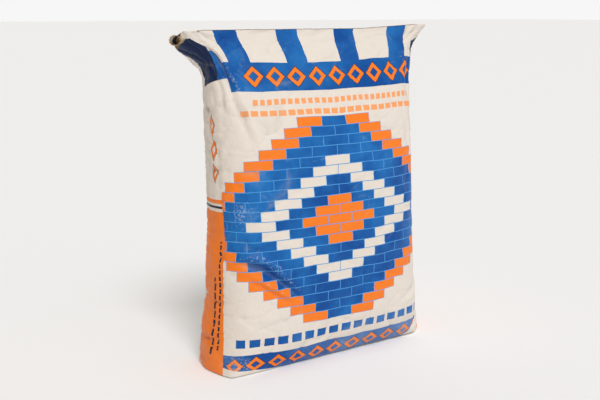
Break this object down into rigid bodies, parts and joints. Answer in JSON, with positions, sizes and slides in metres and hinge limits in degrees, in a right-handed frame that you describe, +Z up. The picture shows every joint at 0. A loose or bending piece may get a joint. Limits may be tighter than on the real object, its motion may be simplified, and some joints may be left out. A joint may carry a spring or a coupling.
{
  "type": "cement bag",
  "caption": "Filled block-bottom valve sack of cement in laminated woven plastic, standing on its flat bottom, with flared ears and a valve in one.",
  "frame": {"origin": "middle of the base, on the floor", "axes": "+Z up, -Y out of the printed front, -X towards the ear with the filling valve"},
  "size_m": [0.5, 0.1772, 0.58],
  "materials": {
    "filled_sack": "laminated woven polypropylene, satin, printed in blue and orange",
    "top_patch": "laminated woven polypropylene, satin",
    "bottom_patch": "laminated woven polypropylene, satin, dusty",
    "valve_sleeve": "thin polypropylene sheet"
  },
  "bodies": {
    "root": {"filled_sack": "filled_sack", "top_patch": "top_patch", "bottom_patch": "bottom_patch", "valve_sleeve": "valve_sleeve"}
  },
  "joints": []
}
